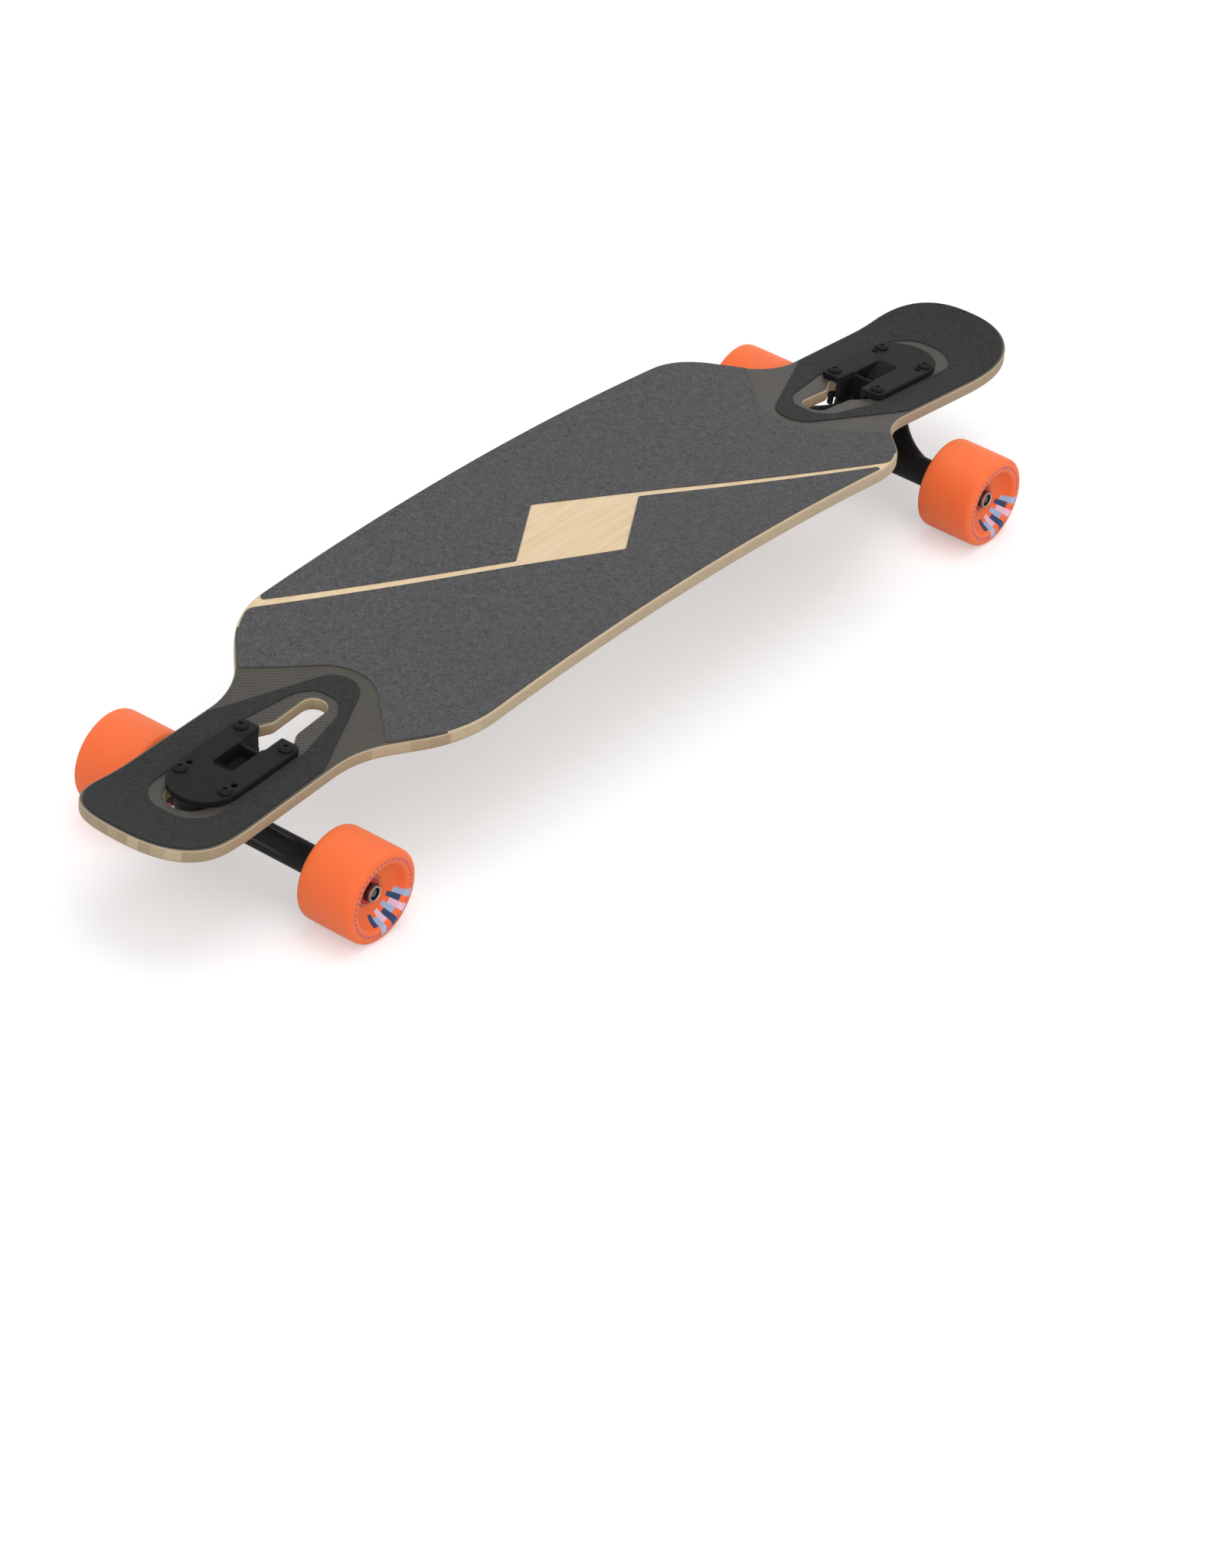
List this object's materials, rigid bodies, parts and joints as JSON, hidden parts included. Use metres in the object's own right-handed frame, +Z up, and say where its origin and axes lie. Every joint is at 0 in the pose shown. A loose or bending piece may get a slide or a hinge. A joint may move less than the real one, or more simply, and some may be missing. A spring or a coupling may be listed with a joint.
{
  "type": "longboard",
  "caption": "Drop-through longboard with a cambered, concave deck, grip sheets, reverse-kingpin trucks that steer and wheels that spin.",
  "frame": {"origin": "ground level under the middle of the deck", "axes": "+X along the deck towards the nose, +Y towards the left rail, +Z up"},
  "size_m": [1.0098, 0.2566, 0.1279],
  "materials": {
    "maple": "satin lacquer",
    "grit": "abrasive grit",
    "black_cast": "matt black powder coat",
    "black_steel": "black oxide",
    "bright_steel": "zinc plated",
    "gold_steel": "gold plated",
    "black_urethane": "moulded",
    "orange_urethane": "cast and turned",
    "black_plastic": "moulded"
  },
  "bodies": {
    "board": {"deck": "maple", "grip_tail_main": "grit", "grip_tail_ring": "grit", "grip_nose_main": "grit", "grip_nose_ring": "grit", "tail_baseplate": "black_cast", "tail_kingpin": "black_steel", "tail_kingpin_nut": "gold_steel", "tail_pivot_cup": "black_plastic", "tail_boardside_bushing": "black_urethane", "tail_roadside_bushing": "black_urethane", "tail_boardside_washer": "gold_steel", "tail_roadside_washer": "gold_steel", "tail_bolt_inner_left": "black_steel", "tail_bolt_inner_right": "black_steel", "tail_bolt_outer_left": "black_steel", "tail_bolt_outer_right": "black_steel", "tail_lock_nut_inner_left": "black_steel", "tail_lock_nut_inner_right": "black_steel", "tail_lock_nut_outer_left": "black_steel", "tail_lock_nut_outer_right": "black_steel", "nose_baseplate": "black_cast", "nose_kingpin": "black_steel", "nose_kingpin_nut": "gold_steel", "nose_pivot_cup": "black_plastic", "nose_boardside_bushing": "black_urethane", "nose_roadside_bushing": "black_urethane", "nose_boardside_washer": "gold_steel", "nose_roadside_washer": "gold_steel", "nose_bolt_inner_left": "black_steel", "nose_bolt_inner_right": "black_steel", "nose_bolt_outer_left": "black_steel", "nose_bolt_outer_right": "black_steel", "nose_lock_nut_inner_left": "black_steel", "nose_lock_nut_inner_right": "black_steel", "nose_lock_nut_outer_left": "black_steel", "nose_lock_nut_outer_right": "black_steel"},
    "nose_truck": {"nose_hanger": "black_cast", "nose_axle": "bright_steel", "nose_left_axle_nut": "bright_steel", "nose_right_axle_nut": "bright_steel"},
    "tail_truck": {"tail_hanger": "black_cast", "tail_axle": "bright_steel", "tail_left_axle_nut": "bright_steel", "tail_right_axle_nut": "bright_steel"},
    "tail_left_wheel_set": {"tail_left_wheel": "orange_urethane", "tail_left_inner_bearing": "bright_steel", "tail_left_outer_bearing": "bright_steel"},
    "tail_right_wheel_set": {"tail_right_wheel": "orange_urethane", "tail_right_inner_bearing": "bright_steel", "tail_right_outer_bearing": "bright_steel"},
    "nose_left_wheel_set": {"nose_left_wheel": "orange_urethane", "nose_left_inner_bearing": "bright_steel", "nose_left_outer_bearing": "bright_steel"},
    "nose_right_wheel_set": {"nose_right_wheel": "orange_urethane", "nose_right_inner_bearing": "bright_steel", "nose_right_outer_bearing": "bright_steel"}
  },
  "joints": [
    {"name": "tail_steer", "type": "hinge", "parent": "board", "child": "tail_truck", "pos_m": [-0.38037, 0, 0.04862], "axis": [-0.7011, 0, 0.713], "range_deg": [-15, 15], "stiffness_Nm_per_rad": 25, "deforming": ["tail_boardside_bushing", "tail_roadside_bushing"]},
    {"name": "nose_steer", "type": "hinge", "parent": "board", "child": "nose_truck", "pos_m": [0.38037, 0, 0.04862], "axis": [0.7011, 0, 0.713], "range_deg": [-15, 15], "stiffness_Nm_per_rad": 25, "deforming": ["nose_boardside_bushing", "nose_roadside_bushing"]},
    {"name": "tail_left_spin", "type": "hinge", "parent": "tail_truck", "child": "tail_left_wheel_set", "pos_m": [-0.36845, 0.1036, 0.0365], "axis": [0, 1, 0], "continuous": true},
    {"name": "tail_right_spin", "type": "hinge", "parent": "tail_truck", "child": "tail_right_wheel_set", "pos_m": [-0.36845, -0.1036, 0.0365], "axis": [0, 1, 0], "continuous": true},
    {"name": "nose_left_spin", "type": "hinge", "parent": "nose_truck", "child": "nose_left_wheel_set", "pos_m": [0.36845, 0.1036, 0.0365], "axis": [0, 1, 0], "continuous": true},
    {"name": "nose_right_spin", "type": "hinge", "parent": "nose_truck", "child": "nose_right_wheel_set", "pos_m": [0.36845, -0.1036, 0.0365], "axis": [0, 1, 0], "continuous": true}
  ]
}
